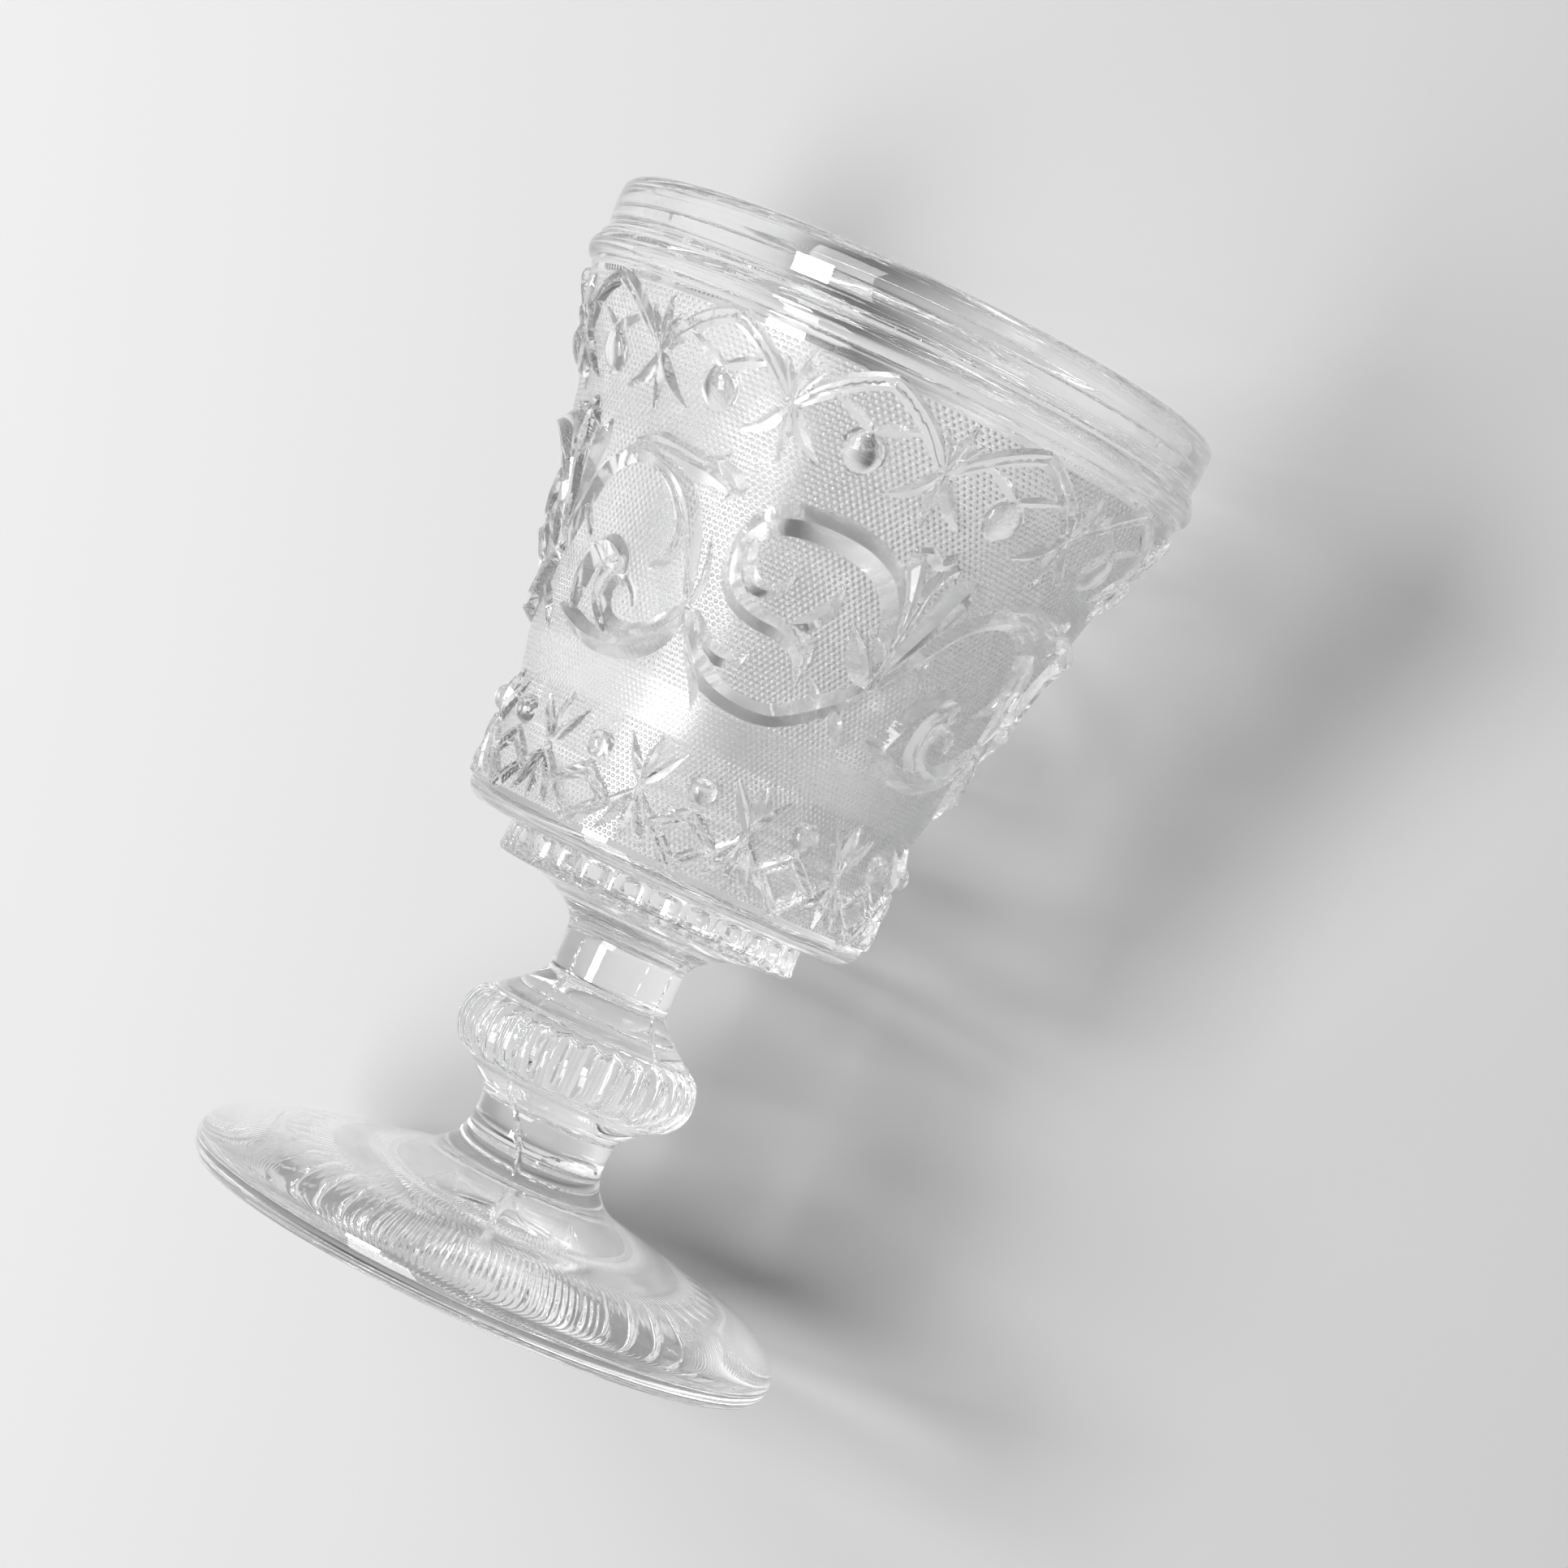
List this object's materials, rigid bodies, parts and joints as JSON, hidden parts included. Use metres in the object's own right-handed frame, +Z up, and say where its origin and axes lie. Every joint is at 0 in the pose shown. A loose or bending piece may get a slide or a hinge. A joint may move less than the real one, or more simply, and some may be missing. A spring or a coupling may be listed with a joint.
{
  "type": "wine goblet",
  "caption": "Pressed-glass wine goblet: a flared bowl with raised scrolls, stars and stippling, on a ribbed collar, a short knopped stem and a broad conical foot.",
  "frame": {"origin": "centre of the foot's base, on the surface that the goblet stands on", "axes": "+Z up along the goblet's axis, from the foot to the rim; +X and +Y across it"},
  "size_m": [0.0924, 0.0924, 0.1484],
  "materials": {
    "clear_glass": "clear, glossy pressed glass, with a stippled ground around the bowl's raised ornament"
  },
  "bodies": {
    "root": {"bowl": "clear_glass", "collar": "clear_glass", "stem": "clear_glass", "foot": "clear_glass"}
  },
  "joints": []
}
